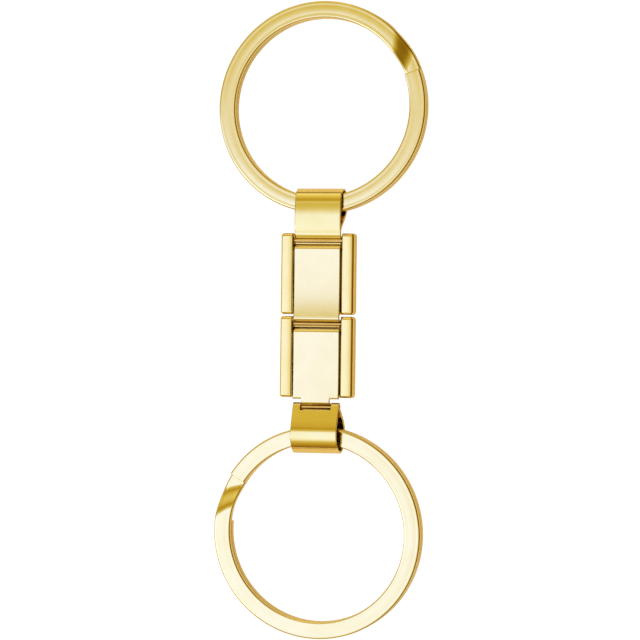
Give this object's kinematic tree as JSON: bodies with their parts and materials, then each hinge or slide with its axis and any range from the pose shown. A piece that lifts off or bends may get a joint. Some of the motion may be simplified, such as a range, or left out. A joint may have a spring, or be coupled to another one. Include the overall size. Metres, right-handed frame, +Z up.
{
  "type": "split key ring",
  "caption": "Double split key ring: a coiled flat-wire ring at each end of a short sprung link chain, held by folded straps on hinge pins.",
  "frame": {"origin": "on the surface that it lies on, under the middle of its outline", "axes": "+Y along the chain towards the upper ring, +Z up out of the front face, +X across the chain to the right as seen from the front"},
  "size_m": [0.0254, 0.0762, 0.0046],
  "materials": {
    "ring_gold": "yellow gold plate over polished stainless steel wire, mirror bright",
    "strap_gold": "yellow gold plate over polished stainless steel sheet, mirror bright",
    "casing_gold": "yellow gold plate over polished stainless steel sheet, mirror bright, darker in the folds",
    "plate_gold": "yellow gold plate over polished stainless steel sheet, mirror bright",
    "pin_gold": "yellow gold plate over drawn steel wire, bright",
    "spring_steel": "rolled stainless spring strip, bare"
  },
  "bodies": {
    "upper_link": {"upper_casing": "casing_gold", "upper_hinge_pin": "pin_gold", "upper_left_spring": "spring_steel", "upper_right_spring": "spring_steel"},
    "upper_strap_loop": {"upper_strap": "strap_gold"},
    "upper_ring": {"upper_split_ring": "ring_gold"},
    "upper_plate": {"upper_face_plate": "plate_gold"},
    "lower_link": {"lower_casing": "casing_gold", "middle_hinge_pin": "pin_gold", "lower_left_spring": "spring_steel", "lower_right_spring": "spring_steel"},
    "lower_plate": {"lower_face_plate": "plate_gold"},
    "lower_strap_loop": {"lower_strap": "strap_gold", "lower_hinge_pin": "pin_gold"},
    "lower_ring": {"lower_split_ring": "ring_gold"}
  },
  "joints": [
    {"name": "upper_strap_hinge", "type": "hinge", "parent": "upper_link", "child": "upper_strap_loop", "pos_m": [0, 0.00944, 0.00295], "axis": [1, 0, 0], "range_deg": [-60, 60]},
    {"name": "upper_ring_swing", "type": "hinge", "parent": "upper_strap_loop", "child": "upper_ring", "pos_m": [0, 0.0139, 0.0018], "axis": [1, 0, 0], "range_deg": [-80, 80]},
    {"name": "upper_plate_slide", "type": "slide", "parent": "upper_link", "child": "upper_plate", "axis": [0, -1, 0], "range_m": [0, 0.001], "stiffness_N_per_m": 800, "deforming": ["upper_left_spring", "upper_right_spring"]},
    {"name": "link_hinge", "type": "hinge", "parent": "upper_plate", "child": "lower_link", "pos_m": [0, -0.00046, 0.00295], "axis": [1, 0, 0], "range_deg": [-20, 20]},
    {"name": "lower_plate_slide", "type": "slide", "parent": "lower_link", "child": "lower_plate", "axis": [0, -1, 0], "range_m": [0, 0.001], "stiffness_N_per_m": 800, "deforming": ["lower_left_spring", "lower_right_spring"]},
    {"name": "lower_strap_hinge", "type": "hinge", "parent": "lower_plate", "child": "lower_strap_loop", "pos_m": [0, -0.01036, 0.00295], "axis": [1, 0, 0], "range_deg": [-60, 60]},
    {"name": "lower_ring_swing", "type": "hinge", "parent": "lower_strap_loop", "child": "lower_ring", "pos_m": [0, -0.01391, 0.002], "axis": [1, 0, 0], "range_deg": [-80, 80]}
  ]
}
